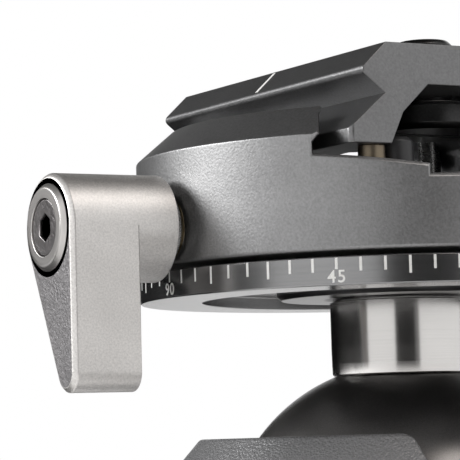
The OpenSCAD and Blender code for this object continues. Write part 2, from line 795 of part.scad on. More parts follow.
module clamp_body() color("#484848") difference() {
    r = clamp_r;
    low = pan_z + bearing_t;
    turned([[0, low], [r - fine, low], [r, low + fine], [r, clamp_shoulder], [r - rim_chamfer_w, clamp_top],
        [0, clamp_top]]);
    bar_y(channel_outline(), 2 * (clamp_r + over));
    bar_y(pocket_outline(), jaw_len + 2 * pass);
    translate([0, 0, low - over]) cylinder(h = clamp_h, r = hub_d / 2 + run);
    translate([0, 0, pan_z + hub_h - cover_gap]) cylinder(h = clamp_h, r = cover_d / 2 + pass);
    rod_x(-r - over, -pocket_end + over, lever_nut_d / 2 + seat, lever_z);
    rod_x(hub_d / 2 - over, r + over, pan_screw_d / 2 + run, hub_brake_z);
    for (side = [-1, 1]) {
        translate([0, side * guide_pin_y, 0])
            rod_x(-jaw_face - over, guide_reach + pass - jaw_face, guide_pin_r + run, guide_pin_z);
        translate([side * pin_x, side * pin_y, spring_well]) cylinder(h = clamp_h, r = pin_d / 2 + run);
    }
    for (x = [-1, 1], y = [-1, 1])
        translate([x * button_x, y * button_y, plate_bottom - button_len])
            cylinder(h = button_len + over, r = button_d / 2 + seat);
    translate([vial_x, vial_len / 2 + pass, vial_z]) rotate([90, 0, 0])
        cylinder(h = vial_len + 2 * pass, r = vial_d / 2 + seat);
    translate([vial_x - vial_window / 2, edge - vial_len / 2, vial_z])
        cube([vial_window, vial_len - 2 * edge, clamp_h]);
}

module clamp_cover() color("#2a2a2a") difference() {
    translate([0, 0, pan_z + hub_h]) cylinder(h = cover_t, r = cover_d / 2);
    cover_screw_holes();
}

module cover_screws() color("dimgray") translate([0, 0, pan_z + hub_h + cover_t]) {
    ring_of(screws, cover_pcd / 2) flat_screw(cover_screw_len);
}

module lever_nut() color("goldenrod") difference() {
    rod_x(-clamp_r + nut_inset, -pocket_end - nut_inset, lever_nut_d / 2, lever_z);
    rod_x(-clamp_r, -pocket_end, lever_shaft_d / 2 + run, lever_z);
}

module rest_buttons() color("goldenrod") {
    for (x = [-1, 1], y = [-1, 1])
        translate([x * button_x, y * button_y, plate_bottom - button_len])
            cylinder(h = button_len, r = button_d / 2);
}

module level_vial() color("yellowgreen", 0.6) translate([vial_x, vial_len / 2, vial_z]) {
    rotate([90, 0, 0]) cylinder(h = vial_len, r = vial_d / 2);
}

module moving_jaw() color("#3a3a3a") difference() {
    rim_back = jaw_back - (jaw_top - clamp_shoulder) * rim_chamfer_w / rim_chamfer_h;
    bar_y([[-jaw_face, jaw_bottom], [-jaw_face, plate_bottom + foot_side_h],
        [-flank(jaw_face, jaw_top), jaw_top], [-rim_back, jaw_top], [-jaw_back, clamp_shoulder],
        [-jaw_back, jaw_bottom]], jaw_len);
    rod_x(-jaw_back - over, -jaw_face - over, lever_shaft_d / 2 + run, lever_z);
    for (side = [-1, 1])
        translate([0, side * guide_pin_y, 0])
            rod_x(guide_bed - seat - jaw_back, 0, guide_pin_r + seat, guide_pin_z);
}

module jaw_guide_pins() color("silver") for (side = [-1, 1]) {
    translate([0, side * guide_pin_y, 0])
        rod_x(guide_bed - jaw_back, guide_reach - jaw_face, guide_pin_r, guide_pin_z);
}

module lever_shaft() color("silver") difference() {
    rod_x(-paddle_start - shaft_stub, -jaw_face - shaft_bed, lever_shaft_d / 2, lever_z);
    rod_x(-paddle_start - shaft_stub - over, shaft_stub - paddle_start, screw_r, lever_z);
}

module lever_washer() color("goldenrod") difference() {
    rod_x(-lever_start, -clamp_r - fine, lever_washer_d / 2, lever_z);
    rod_x(-lever_start - over, 0, lever_shaft_d / 2 + seat, lever_z);
}

// Normal of the straight line that touches both of the paddle's circles, on one side
function paddle_normal(side) = let (
    d = norm([tip_side, tip_drop]),
    along = [-tip_side, -tip_drop] / d,
    share = (lever_hub_d / 2 - tip_r) / d)
    along * share + side * [along[1], -along[0]] * sqrt(1 - share ^ 2);

// The paddle's outline in the plane of Y and Z, about the lever's axis
module paddle_outline() {
    tip = [-tip_side, -tip_drop];
    hub_r = lever_hub_d / 2;
    circle(r = hub_r);
    translate(tip) circle(r = tip_r);
    polygon([hub_r * paddle_normal(1), tip + tip_r * paddle_normal(1), tip + tip_r * paddle_normal(-1),
        hub_r * paddle_normal(-1)]);
}

module lever() color("silver") difference() {
    union() {
        rod_x(-paddle_start - over, -lever_start, lever_hub_d / 2, lever_z);
        translate([-lever_end, 0, lever_z]) rotate([90, 0, 90]) linear_extrude(paddle_t) paddle_outline();
    }
    rod_x(-lever_end - over, counterbore_h - lever_end, counterbore_d / 2, lever_z);
    rod_x(-lever_end - over, -paddle_start - shaft_stub - seat, bush_sleeve_r + 2 * seat, lever_z);
    rod_x(-paddle_start - shaft_stub - over, 0, lever_shaft_d / 2 + seat, lever_z);
}

module lever_bush() color("silver") {
    front = -lever_end - bush_proud;
    back = counterbore_h - lever_end;
    difference() {
        turned_x([[bush_bore_r, back], [bush_d / 2, back], [bush_d / 2, front + bush_bevel],
            [bush_front_d / 2, front], [bush_bore_r, front]], lever_z);
        rod_x(front - over, front + lever_screw_sink + lever_screw_head_t + seat, lever_screw_d / 2 + seat,
            lever_z);
    }
    difference() {
        rod_x(back, -paddle_start - shaft_stub - 2 * seat, bush_sleeve_r, lever_z);
        rod_x(back - over, 0, bush_bore_r, lever_z);
    }
}

module lever_screw() color("#111111") difference() {
    front = lever_screw_sink - lever_end - bush_proud;
    union() {
        rod_x(front, front + lever_screw_head_t, lever_screw_d / 2, lever_z);
        rod_x(front + lever_screw_head_t - eps, shaft_stub - paddle_start - run, lever_screw_r, lever_z);
    }
    translate([front - over, 0, lever_z]) rotate([0, 90, 0])
        cylinder(h = over + socket_depth, d = hex_af / cos(30), $fn = 6);
}

// A safety pin with a rounded top
module safety_pin() {
    r = pin_d / 2;
    top = pan_z + pin_top;
    turned([[0, pin_bottom], [r, pin_bottom], [r, top - edge], [r - edge, top], [0, top]]);
}

// The spring under a safety pin, drawn as a plain sleeve
module pin_spring() {
    r = pin_spring_d / 2;
    band(r - pin_spring_w, r, spring_well, spring_well + pin_spring_len);
}

module safety_pin_front() color("#151515") translate([-pin_x, -pin_y, 0]) safety_pin();
module safety_pin_rear() color("#151515") translate([pin_x, pin_y, 0]) safety_pin();
module pin_spring_front() color("silver") translate([-pin_x, -pin_y, 0]) pin_spring();
module pin_spring_rear() color("silver") translate([pin_x, pin_y, 0]) pin_spring();

// One half of the plate's outline, as [distance from the middle, height above its feet]
function plate_half() = [[plate_top_w / 2, plate_h], [plate_wide / 2, wide_z], [plate_waist / 2, waist_z],
    [foot_half, foot_side_h], [foot_half, 0], [foot_half - foot_flat, 0],
    [foot_half - arch_knee_w, arch_knee_h], [foot_half - arch_top_w, arch_z]];

// The room for the rubber pads, or the pads themselves, grown by a gap and raised by a lift
module pads(gap, lift) {
    for (x = [-1, 1])
        translate([x * (camera_r + pad_inset + pad_w / 2), 0, plate_top + pad_proud - (pad_t - lift) / 2])
            cube([pad_w + 2 * gap, pad_len + 2 * gap, pad_t + lift], center = true);
}

module plate() color("#505050") difference() {
    half = plate_half();
    last = len(half) - 1;
    cut = lead_in * sqrt(2);
    slot_end = slot_len / 2 - camera_r - slot_gap;
    outline = concat([for (p = half) [p[0], plate_bottom + p[1]]],
        [for (i = [0 : last]) [-half[last - i][0], plate_bottom + half[last - i][1]]]);
    bar_y(outline, plate_len);
    for (y = [-1, 1], x = [-1, 1])
        translate([x * foot_half, y * plate_len / 2, plate_bottom + (waist_z - over) / 2]) rotate(45)
            cube([cut, cut, waist_z + over], center = true);
    for (y = [-1, 1])
        translate([0, y * slot_end, web_z - over]) cylinder(h = plate_h, r = camera_r + slot_gap);
    translate([-camera_r - slot_gap, -slot_end, web_z - over])
        cube([camera_d + 2 * slot_gap, 2 * slot_end, plate_h]);
    pads(seat, over);
    for (side = [-1, 1])
        translate([side * pin_x, side * stop_y, 0]) cylinder(h = web_z + over, r = stop_d / 2 + seat);
}

module plate_pads() color("#181818") pads(0, 0);

module stop_screws() color("silver") for (side = [-1, 1]) {
    translate([side * pin_x, side * stop_y, plate_bottom + stop_sink]) difference() {
        cylinder(h = arch_z, r = stop_d / 2);
        translate([0, 0, -over]) rotate(30) cylinder(h = over + stop_socket_h, r = stop_socket_r, $fn = 6);
    }
}

module camera_washer() color("silver") translate([0, camera_y, 0]) {
    band(camera_r + run, camera_r + camera_washer_w, web_z - camera_washer_t, web_z);
}

module camera_screw() color("silver") translate([0, camera_y, 0]) difference() {
    head_z = web_z - camera_washer_t - camera_head_t;
    head_top = head_z + camera_head_t;
    head_r = camera_head_d / 2;
    face = plate_top + pad_proud;
    top = plate_top + camera_proud;
    turned([[0, head_z], [head_r - edge, head_z], [head_r, head_z + edge], [head_r, head_top],
        [camera_r - relief, head_top], [camera_r - relief, face], [camera_r, face + relief],
        [camera_r, top - thread_bevel], [camera_r - thread_bevel, top], [0, top]]);
    translate([-head_r - over, -coin_slot_w / 2, head_z - over])
        cube([camera_head_d + 2 * over, coin_slot_w, coin_slot_h + over]);
}

base_disc();
thread_insert();
foot_ring();
pan_washer();
pan_retainer();
retainer_screws();
housing();
housing_floor();
spring_plate();
disc_spring();
seat_ring();
main_bush();
thrust_cup();
wedge_plunger();
main_shaft();
main_knob();
main_knob_grip();
friction_dial();
base_brake_shoe();
base_pan_screw();
base_pan_knob();
ball();
neck();
pan_hub();
scale_ring();
bearing_washer();
clamp_body();
clamp_cover();
cover_screws();
lever_nut();
rest_buttons();
level_vial();
top_brake_shoe();
top_pan_screw();
top_pan_knob();
moving_jaw();
jaw_guide_pins();
lever_shaft();
lever_washer();
lever();
lever_bush();
lever_screw();
safety_pin_front();
safety_pin_rear();
pin_spring_front();
pin_spring_rear();
plate();
plate_pads();
stop_screws();
camera_washer();
camera_screw();
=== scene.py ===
# Looks, light and camera for the ball head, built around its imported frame.
# Lengths on the part are written in millimetres and turned into metres where a mesh is made.
# Distances and sizes of lamps, cards and the floor are in metres.
import json
import math

import bmesh
import bpy
from mathutils import Matrix, Vector

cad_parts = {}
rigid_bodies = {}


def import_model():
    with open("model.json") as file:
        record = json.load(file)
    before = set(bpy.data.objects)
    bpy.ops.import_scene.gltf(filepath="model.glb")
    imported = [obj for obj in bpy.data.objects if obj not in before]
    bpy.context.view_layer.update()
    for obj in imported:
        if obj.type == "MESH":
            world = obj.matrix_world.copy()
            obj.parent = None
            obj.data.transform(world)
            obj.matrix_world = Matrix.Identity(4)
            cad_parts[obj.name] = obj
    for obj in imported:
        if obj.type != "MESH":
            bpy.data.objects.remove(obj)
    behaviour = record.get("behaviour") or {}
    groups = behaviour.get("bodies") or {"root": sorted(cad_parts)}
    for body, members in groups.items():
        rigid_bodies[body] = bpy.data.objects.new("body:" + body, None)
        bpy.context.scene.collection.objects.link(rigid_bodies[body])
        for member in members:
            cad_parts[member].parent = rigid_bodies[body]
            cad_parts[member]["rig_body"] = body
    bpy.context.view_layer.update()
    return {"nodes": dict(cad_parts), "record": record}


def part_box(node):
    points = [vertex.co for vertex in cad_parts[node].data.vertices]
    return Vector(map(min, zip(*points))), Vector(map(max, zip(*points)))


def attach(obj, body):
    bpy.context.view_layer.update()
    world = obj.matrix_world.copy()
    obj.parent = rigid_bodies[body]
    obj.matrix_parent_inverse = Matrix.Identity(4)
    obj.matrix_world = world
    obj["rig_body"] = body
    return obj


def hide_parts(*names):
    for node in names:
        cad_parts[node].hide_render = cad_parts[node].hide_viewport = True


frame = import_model()

MM = 0.001
FINE = 0.12

# The camera, fitted to the photograph, in pixels, millimetres and radians.
# TURN brings the camera's side of the part round from -Y.
FRAME_PX = 460
FOCAL_PX = 2569
SENSOR = 36
CAMERA_DISTANCE = 285
CAMERA_DROP = 18.12
YAW = -0.0645
PITCH = 0.0818
ROLL = -0.029
TURN = Matrix.Rotation(math.radians(-32.78), 3, "Z")


def low(node):
    """The low corner of a node's box, in millimetres."""
    return [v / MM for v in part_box(node)[0]]


def high(node):
    """The high corner of a node's box, in millimetres."""
    return [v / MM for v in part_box(node)[1]]


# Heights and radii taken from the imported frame, in millimetres
RING_TOP = high("scale_ring")[2]
RING_LOW = low("scale_ring")[2]
RING_R = high("scale_ring")[0]
BALL_R = high("ball")[0]
BALL_Z = high("ball")[2] - BALL_R
NECK_R = high("neck")[0]
PLATE_TOP = high("plate")[2]
PLATE_LOW = low("plate")[2]
CLAMP_R = high("clamp_body")[1]
LEVER_X = low("lever")[0]
LEVER_Z = (low("lever_washer")[2] + high("lever_washer")[2]) / 2


# Meshes


def new_object(name, bm):
    """Turn a bmesh into an object that is linked to the scene."""
    mesh = bpy.data.meshes.new(name)
    bm.to_mesh(mesh)
    bm.free()
    made = bpy.data.objects.new(name, mesh)
    bpy.context.scene.collection.objects.link(made)
    return made


def smooth(made, sharp_deg=50, valley_deg=22):
    """Shade smooth, keep corners and valleys above these angles sharp, and weight normals by area."""
    mesh = made.data
    bm = bmesh.new()
    bm.from_mesh(mesh)
    for face in bm.faces:
        face.smooth = True
    for edge in bm.edges:
        limit = sharp_deg if edge.is_convex else valley_deg
        edge.smooth = not (edge.is_manifold and edge.calc_face_angle(0) > math.radians(limit))
    bm.to_mesh(mesh)
    bm.free()
    weighted = made.modifiers.new("normals", "WEIGHTED_NORMAL")
    weighted.keep_sharp = True
    weighted.weight = 80
    return made


def bevel_edges(bm, edges, width, steps=2):
    """Bevel these edges by a width in millimetres."""
    if edges:
        bmesh.ops.bevel(bm, geom=edges, offset=width * MM, segments=steps, profile=0.5,
                        affect="EDGES", offset_type="OFFSET", clamp_overlap=False)


def free_edges(bm, width, angle_deg=28):
    """Outward corners above an angle that have room for a bevel of this width."""
    chosen = {e for e in bm.edges if e.is_manifold and e.is_convex
              and e.calc_face_angle(0) > math.radians(angle_deg)}
    crowded = True
    while crowded:
        crowded = set()
        for edge in bm.edges:
            if edge in chosen:
                continue
            ends = [v for v in edge.verts if not chosen.isdisjoint(v.link_edges)]
            if ends and edge.calc_length() < 1.15 * width * MM * len(ends):
                crowded.update(e for v in ends for e in v.link_edges if e in chosen)
        chosen -= crowded
    return [e for e in bm.edges if e in chosen]


def cad_bmesh(node):
    """A clean copy of a CAD node's mesh: joined vertices and flat faces in one piece."""
    bm = bmesh.new()
    bm.from_mesh(frame["nodes"][node].data)
    bmesh.ops.remove_doubles(bm, verts=bm.verts, dist=1e-6)
    bmesh.ops.dissolve_limit(bm, angle_limit=math.radians(0.4), verts=bm.verts, edges=bm.edges,
                             use_dissolve_boundaries=False)
    return bm


def machined(node, width=FINE, steps=2, wide=(), material=None):
    """Replace a CAD node by a copy with bevelled edges. wide has (test, width, steps) for main edges."""
    bm = cad_bmesh(node)
    for test, wide_width, wide_steps in wide:
        main_edges = [e for e in bm.edges if e.is_manifold and e.is_convex and test(e)]
        bevel_edges(bm, main_edges, wide_width, wide_steps)
    bevel_edges(bm, free_edges(bm, width), width, steps)
    return stand_for(smooth(new_object(node + "_look", bm)), node, material)


def stand_for(made, node, material=None):
    """Let an object replace a CAD node, ride on its body and take its slot's material."""
    body = frame["nodes"][node]["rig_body"]
    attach(made, body)
    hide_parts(node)
    dress(made, material or finish_of(slot_of[node]))
    return made


def add_on(made, body, material):
    """Let an extra object ride on a body with a material."""
    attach(made, body)
    dress(made, material)
    return made


def dress(made, material):
    """Give an object this material only."""
    made.data.materials.clear()
    made.data.materials.append(material)


def rounded(points, radii, closed=True, steps=4):
    """Round the corners of an outline, each by its own radius."""
    count = len(points)
    outline = []
    for i, point in enumerate(points):
        here = Vector(point)
        if radii[i] <= 0 or (not closed and i in (0, count - 1)):
            outline.append(here)
            continue
        before = Vector(points[i - 1]) - here
        after = Vector(points[(i + 1) % count]) - here
        half = before.angle(after) / 2
        reach = min(radii[i] / math.tan(half), before.length * 0.49, after.length * 0.49)
        start = here + before.normalized() * reach
        end = here + after.normalized() * reach
        for s in range(steps + 1):
            t = s / steps
            outline.append(start * (1 - t) ** 2 + here * 2 * t * (1 - t) + end * t * t)
    return outline


def lathe(name, profile, axis="z", at=(0, 0, 0), segments=192, closed=True):
    """Revolve a [radius, height] outline about an axis through a point."""
    bm = bmesh.new()
    rings = []
    for radius, height in profile:
        if radius < 1e-6:
            rings.append([bm.verts.new(axial(0, 0, height, axis, at))])
            continue
        rings.append([bm.verts.new(axial(radius * math.cos(a), radius * math.sin(a), height, axis, at))
                      for a in (2 * math.pi * k / segments for k in range(segments))])
    pairs = list(zip(rings, rings[1:]))
    if closed:
        pairs.append((rings[-1], rings[0]))
    for one, other in pairs:
        for k in range(segments):
            n = (k + 1) % segments
            corners = [one[k % len(one)], one[n % len(one)], other[n % len(other)], other[k % len(other)]]
            corners = [v for i, v in enumerate(corners) if v is not corners[i - 1]]
            if len(corners) > 2:
                bm.faces.new(corners)
    bmesh.ops.recalc_face_normals(bm, faces=bm.faces)
    return new_object(name, bm)


def axial(u, v, height, axis, at):
    """A point in metres from two across values and one along value."""
    across = (u, v, height) if axis == "z" else (v, height, u)
    return Vector(across) * MM + Vector(at) * MM


def slab(name, size, centre, turn=None):
    """A box with bevelled edges, turned by a matrix about its centre."""
    bm = bmesh.new()
    bmesh.ops.create_cube(bm, size=1, matrix=Matrix.Diagonal((*[s * MM for s in size], 1)))
    bevel_edges(bm, list(bm.edges), min(size) * 0.2)
    if turn:
        bmesh.ops.transform(bm, matrix=turn.to_4x4(), verts=bm.verts)
    bmesh.ops.translate(bm, vec=Vector(centre) * MM, verts=bm.verts)
    return new_object(name, bm)


def joined(name, parts):
    """Join several objects into one."""
    bm = bmesh.new()
    for part in parts:
        bm.from_mesh(part.data)
        bpy.data.objects.remove(part)
    return new_object(name, bm)


def thread(name, minor, major, pitch, start, end, at, segments=72):
    """An upright screw thread: a helical ridge between two radii."""
    steps = max(8, round((end - start) / pitch * 10))
    bm = bmesh.new()
    rows = []
    for i in range(steps + 1):
        height = start + (end - start) * i / steps
        fade = min(1, (height - start) / pitch * 1.5, (end - height) / pitch * 1.5)
        row = []
        for k in range(segments):
            a = 2 * math.pi * k / segments
            wave = abs((height / pitch - k / segments) % 1 * 2 - 1)
            radius = minor + (major - minor) * min(1, max(0, wave * 1.5 - 0.2)) * fade
            row.append(bm.verts.new(axial(radius * math.cos(a), radius * math.sin(a), height, "z", at)))
        rows.append(row)
    for one, other in zip(rows, rows[1:]):
        for k in range(segments):
            n = (k + 1) % segments
            bm.faces.new([one[k], one[n], other[n], other[k]])
    bm.faces.new(rows[0][::-1])
    bm.faces.new(rows[-1])
    bmesh.ops.recalc_face_normals(bm, faces=bm.faces)
    return new_object(name, bm)


# Materials


class Look:
    """A material under construction, with short words for its nodes."""

    def __init__(self, name):
        self.material = bpy.data.materials.new(name)
        self.material.use_nodes = True
        self.tree = self.material.node_tree
        self.bsdf = self.tree.nodes["Principled BSDF"]
        self.coords = self.add("ShaderNodeTexCoord").outputs["Object"]

    def add(self, kind, **values):
        """Add a node and set its attributes."""
        made = self.tree.nodes.new(kind)
        for key, value in values.items():
            setattr(made, key, value)
        return made

    def link(self, source, target):
        self.tree.links.new(source, target)

    def set(self, **values):
        """Set shader inputs by their names in lower case."""
        for key, value in values.items():
            self.bsdf.inputs[key.capitalize()].default_value = value

    def noise(self, per_mm, detail):
        """A noise whose cells are about 1/per_mm millimetres across."""
        texture = self.add("ShaderNodeTexNoise")
        texture.inputs["Scale"].default_value = per_mm / MM
        texture.inputs["Detail"].default_value = detail
        self.link(self.coords, texture.inputs["Vector"])
        return texture.outputs["Fac"]

    def cells(self, per_mm):
        """Soft pebbles about 1/per_mm millimetres across."""
        texture = self.add("ShaderNodeTexVoronoi", feature="SMOOTH_F1")
        texture.inputs["Scale"].default_value = per_mm / MM
        texture.inputs["Smoothness"].default_value = 0.4
        self.link(self.coords, texture.inputs["Vector"])
        return texture.outputs["Distance"]

    def tones(self, source, dark, light):
        """Let a texture move the colour between two tones."""
        ramp = self.add("ShaderNodeValToRGB")
        for element, place, colour in zip(ramp.color_ramp.elements, (0.3, 0.7), (dark, light)):
            element.position = place
            element.color = (*colour, 1)
        self.link(source, ramp.inputs["Fac"])
        self.link(ramp.outputs["Color"], self.bsdf.inputs["Base Color"])

    def gloss(self, source, lowest, highest):
        """Let a texture move the roughness between two values."""
        span = self.add("ShaderNodeMapRange")
        span.inputs["To Min"].default_value = lowest
        span.inputs["To Max"].default_value = highest
        self.link(source, span.inputs["Value"])
        self.link(span.outputs["Result"], self.bsdf.inputs["Roughness"])

    def mixed(self, one, other, share):
        """Mix a share of the other value into one."""
        made = self.add("ShaderNodeMath", operation="MULTIPLY_ADD")
        scaled = self.add("ShaderNodeMath", operation="MULTIPLY")
        self.link(one, scaled.inputs[0])
        scaled.inputs[1].default_value = 1 - share
        self.link(other, made.inputs[0])
        made.inputs[1].default_value = share
        self.link(scaled.outputs[0], made.inputs[2])
        return made.outputs[0]

    def bump(self, source, depth_mm):
        """Raise the surface by a texture, to a depth in millimetres."""
        made = self.add("ShaderNodeBump")
        made.inputs["Strength"].default_value = 1
        made.inputs["Distance"].default_value = depth_mm * MM
        self.link(source, made.inputs["Height"])
        self.link(made.outputs["Normal"], self.bsdf.inputs["Normal"])

    def turned_lines(self, axis, at, per_mm):
        """Fine lines as a lathe leaves them, round an axis through a point."""
        centred = self.add("ShaderNodeVectorMath", operation="SUBTRACT")
        self.link(self.coords, centred.inputs[0])
        centred.inputs[1].default_value = [v * MM for v in at]
        split = self.add("ShaderNodeSeparateXYZ")
        self.link(centred.outputs[0], split.inputs[0])
        names = {"x": ("Y", "Z", "X"), "z": ("X", "Y", "Z")}[axis]
        radius = self.add("ShaderNodeVectorMath", operation="LENGTH")
        flat = self.add("ShaderNodeCombineXYZ")
        self.link(split.outputs[names[0]], flat.inputs[0])
        self.link(split.outputs[names[1]], flat.inputs[1])
        self.link(flat.outputs[0], radius.inputs[0])
        pair = self.add("ShaderNodeCombineXYZ")
        self.link(radius.outputs["Value"], pair.inputs[0])
        self.link(split.outputs[names[2]], pair.inputs[1])
        texture = self.add("ShaderNodeTexNoise")
        texture.inputs["Scale"].default_value = per_mm / MM
        texture.inputs["Detail"].default_value = 3
        self.link(pair.outputs[0], texture.inputs["Vector"])
        return texture.outputs["Fac"]


def toned(colour, factor):
    """A colour made lighter or darker."""
    return [min(1, c * factor) for c in colour]


def blasted(name, colour, roughness, grain=5.0, depth=0.012):
    """Sandblasted and anodised metal: a fine even grain with slight changes of tone."""
    look = Look(name)
    look.set(metallic=1.0)
    fine = look.noise(grain, 3)
    broad = look.noise(0.12, 2)
    look.tones(look.mixed(fine, broad, 0.35), toned(colour, 0.8), toned(colour, 1.18))
    look.gloss(fine, roughness - 0.05, roughness + 0.07)
    look.bump(fine, depth)
    return look.material


def turned_metal(name, colour, roughness, axis="z", at=(0, 0, 0), lines=9.0, depth=0.004, spread=0.12):
    """Metal with the fine rings of a lathe. spread is how far tone and gloss vary."""
    look = Look(name)
    look.set(metallic=1.0)
    rings = look.turned_lines(axis, at, lines)
    broad = look.noise(0.2, 2)
    look.tones(look.mixed(rings, broad, 0.4), toned(colour, 1 - spread), toned(colour, 1 + spread))
    swing = spread * 0.4
    look.gloss(rings, roughness - swing, roughness + swing)
    look.bump(rings, depth)
    return look.material


def plastic(name, colour, roughness, grain=3.0, depth=0.01):
    """Moulded plastic or rubber with a fine grain."""
    look = Look(name)
    fine = look.noise(grain, 3)
    broad = look.noise(0.1, 2)
    look.tones(look.mixed(fine, broad, 0.5), toned(colour, 0.85), toned(colour, 1.2))
    look.gloss(fine, roughness - 0.05, roughness + 0.08)
    look.bump(fine, depth)
    return look.material


def pebbled_coat(name):
    """Black texture coat with small soft wrinkles, as on a cast housing."""
    look = Look(name)
    look.set(metallic=0.3)
    pebbles = look.cells(3.6)
    fine = look.noise(7.0, 3)
    look.tones(fine, (0.18, 0.18, 0.184), (0.27, 0.27, 0.275))
    look.gloss(fine, 0.3, 0.42)
    look.bump(look.mixed(pebbles, fine, 0.3), 0.09)
    return look.material


def clear_tube(name, colour):
    """Clear plastic with a tint."""
    look = Look(name)
    look.set(roughness=0.03)
    look.bsdf.inputs["Transmission Weight"].default_value = 0.9
    look.bsdf.inputs["IOR"].default_value = 1.49
    look.tones(look.noise(0.3, 1), toned(colour, 0.96), colour)
    return look.material


def plain_paint(name, colour):
    """Paint for marks."""
    look = Look(name)
    grain = look.noise(8.0, 2)
    look.tones(grain, toned(colour, 0.9), colour)
    look.gloss(grain, 0.45, 0.6)
    return look.material


made_finishes = {}
FINISHES = {
    "clamp_anodised": lambda name: blasted(name, (0.26, 0.26, 0.262), 0.42, 4.0, 0.02),
    "black_anodised": lambda name: turned_metal(name, (0.1, 0.1, 0.102), 0.32),
    "knob_black": lambda name: blasted(name, (0.09, 0.09, 0.092), 0.38, 4.0, 0.006),
    "housing_coat": lambda name: pebbled_coat(name),
    "ball_satin": lambda name: blasted(name, (0.22, 0.213, 0.209), 0.3, 7.0, 0.006),
    "lever_silver": lambda name: blasted(name, (0.68, 0.662, 0.645), 0.45, 5.0, 0.012),
    "steel": lambda name: turned_metal(name, (0.6, 0.6, 0.59), 0.28, lines=6.0),
    "chrome": lambda name: turned_metal(name, (0.7, 0.69, 0.68), 0.16, "x", (0, 0, LEVER_Z), 5.0, 0.001),
    "black_steel": lambda name: blasted(name, (0.17, 0.17, 0.17), 0.38, 4.0, 0.005),
    "brass": lambda name: turned_metal(name, (0.36, 0.28, 0.17), 0.34, lines=6.0),
    "grip_rubber": lambda name: plastic(name, (0.022, 0.022, 0.023), 0.62, 2.5, 0.02),
    "seat_polymer": lambda name: plastic(name, (0.03, 0.03, 0.032), 0.4, 3.0, 0.006),
    "bearing_white": lambda name: plastic(name, (0.8, 0.79, 0.76), 0.45, 3.0, 0.004),
    "level_glass": lambda name: clear_tube(name, (0.95, 1.0, 0.9)),
}


def finish_of(slot):
    """The material of a slot in the record, made once."""
    if slot not in made_finishes:
        made_finishes[slot] = FINISHES[slot](slot)
    return made_finishes[slot]


slot_of = {row["node"]: row["material_slot"] for row in frame["record"]["subparts"]}
for cad_name, cad_object in frame["nodes"].items():
    dress(cad_object, finish_of(slot_of[cad_name]))


# Pieces with bevelled edges, straight from their CAD nodes

for plain_node in ("foot_ring", "thread_insert", "base_disc", "main_bush", "main_shaft", "main_knob",
                   "main_knob_grip", "friction_dial", "base_pan_knob", "top_pan_knob", "moving_jaw",
                   "jaw_guide_pins", "stop_screws", "lever_washer", "lever_nut",
                   "clamp_cover", "cover_screws", "pan_hub", "seat_ring", "base_pan_screw",
                   "top_pan_screw", "lever_shaft", "plate_pads"):
    machined(plain_node)

# Steel drawn near black for the camera washer and screw: painted shade for the dark under the plate's arch.
steel_painted_shade = blasted("steel_painted_shade", (0.05, 0.05, 0.05), 0.3, 4.0, 0.004)
machined("camera_washer", material=steel_painted_shade)
# The rest buttons: brass drawn darker than bare brass, which is painted shade for buttons lying in shade
# under the plate.
machined("rest_buttons", material=turned_metal("brass_painted_shade", (0.2, 0.165, 0.12), 0.4))
machined("housing", 0.25, 3)


def widen_flange(made, inner_r, growth):
    """Push everything beyond a radius round the lever's axis outward, in millimetres."""
    for vert in made.data.vertices:
        out = Vector((0, vert.co.y, vert.co.z - LEVER_Z * MM))
        if out.length > inner_r * MM:
            vert.co += out.normalized() * growth * MM


# The bush's flange is drawn wider than in the CAD, to fill the counterbore as in the photograph
BUSH_FRONT_R = 3.7
BUSH_GROWTH = 0.3
bush_steel = turned_metal("bush_steel", (0.5, 0.485, 0.47), 0.36, "x", (0, 0, LEVER_Z), 5.0, 0.002)
widen_flange(machined("lever_bush", 0.1, material=bush_steel), BUSH_FRONT_R, BUSH_GROWTH)
screw_steel = blasted("lever_screw_steel", (0.19, 0.18, 0.18), 0.36, 2.6, 0.06)
machined("lever_screw", 0.15, 3, material=screw_steel)
machined("safety_pin_front", 0.25, 3)
machined("safety_pin_rear", 0.25, 3)


# Where the edges that get a wider bevel lie, in millimetres: beyond these distances and heights
FLARE_X = 17
FLARE_Z = 6.5
CHANNEL_Y = 17
CHANNEL_Z = RING_TOP + 6
RIM_W = 4.2
PADDLE_R = 5.3


def flare_edge(edge):
    """The long edge under the plate's upper bevel."""
    return all(abs(v.co.x) / MM > FLARE_X and v.co.z / MM > PLATE_LOW + FLARE_Z for v in edge.verts)


plate_metal = blasted("plate_anodised", (0.19, 0.19, 0.192), 0.4, 4.0, 0.02)
machined("plate", 0.15, 2, [(flare_edge, 0.7, 4)], material=plate_metal)


def on_clamp_wall(face):
    """Whether a face lies on the clamp's round outside, its rim included."""
    centre = face.calc_center_median() / MM
    outward = Vector((centre.x, centre.y, 0)).normalized()
    return math.hypot(centre.x, centre.y) > CLAMP_R - RIM_W and face.normal.dot(outward) > 0.55


def channel_edge(edge):
    """Edges between the clamp's outside and the channel that runs through it."""
    one, other = edge.link_faces
    middle = (edge.verts[0].co + edge.verts[1].co) / 2 / MM
    return (on_clamp_wall(one) != on_clamp_wall(other) and abs(middle.y) > CHANNEL_Y
            and middle.z > CHANNEL_Z and abs(edge.calc_face_angle(0)) > 0.5)


machined("clamp_body", 0.12, 2, [(channel_edge, 0.4, 1)])


def paddle_rim(edge):
    """The edge round the lever's outer face."""
    x = [v.co.x / MM for v in edge.verts]
    z_far = max(math.hypot(v.co.y / MM, v.co.z / MM - LEVER_Z) for v in edge.verts)
    return max(x) < LEVER_X + 0.02 and z_far > PADDLE_R and edge.calc_face_angle(0) > 1


def coat_end_face(made, material):
    """Give the flat outer face of the lever a material of its own, whose darker tone is painted shade on
    that face.
    """
    made.data.materials.append(material)
    for face in made.data.polygons:
        if face.normal.x < -0.99 and face.center.x / MM < LEVER_X + 0.1:
            face.material_index = 1


